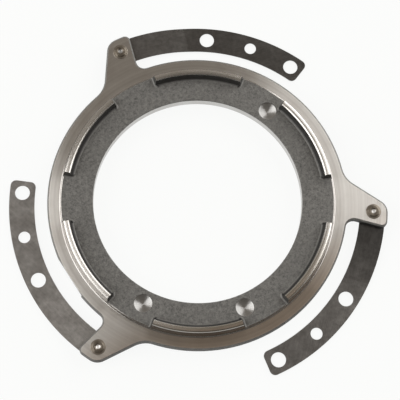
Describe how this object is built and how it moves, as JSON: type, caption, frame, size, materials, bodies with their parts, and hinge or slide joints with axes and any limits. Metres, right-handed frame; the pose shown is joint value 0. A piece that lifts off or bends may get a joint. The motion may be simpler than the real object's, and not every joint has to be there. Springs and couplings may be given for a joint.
{
  "type": "clutch pressure plate",
  "caption": "Flat cast-iron pressure ring with ears, raised fulcrum ridges and riveted tangential leaf straps that let it lift along its axis.",
  "frame": {"origin": "centre of the ring, on its friction face", "axes": "+Z along the ring's axis, away from the friction face and towards the diaphragm spring; +X to the right in the reference view, 3.2 degrees ahead of the third ear's rivet"},
  "size_m": [0.2454, 0.2337, 0.0168],
  "materials": {
    "cast_iron": "grey iron, as cast on the inner face, lathe-turned on the flange, shoulder and ridge crowns, ground on the friction face",
    "spring_steel": "dark tempered spring steel, smooth",
    "rivet_steel": "phosphated steel, brownish grey"
  },
  "bodies": {
    "ring": {"pressure_ring": "cast_iron", "ear_rivet_1": "rivet_steel", "ear_rivet_2": "rivet_steel", "ear_rivet_3": "rivet_steel"},
    "strap_1": {"leaf_strap_1": "spring_steel"},
    "strap_2": {"leaf_strap_2": "spring_steel"},
    "strap_3": {"leaf_strap_3": "spring_steel"}
  },
  "joints": [
    {"name": "strap_1_flex", "type": "slide", "parent": "ring", "child": "strap_1", "axis": [0, 0, 1], "range_m": [-0.001, 0.004], "stiffness_N_per_m": 15600, "deforming": ["leaf_strap_1"]},
    {"name": "strap_2_flex", "type": "slide", "parent": "ring", "child": "strap_2", "axis": [0, 0, 1], "range_m": [-0.001, 0.004], "stiffness_N_per_m": 15600, "deforming": ["leaf_strap_2"]},
    {"name": "strap_3_flex", "type": "slide", "parent": "ring", "child": "strap_3", "axis": [0, 0, 1], "range_m": [-0.001, 0.004], "stiffness_N_per_m": 15600, "deforming": ["leaf_strap_3"]}
  ]
}
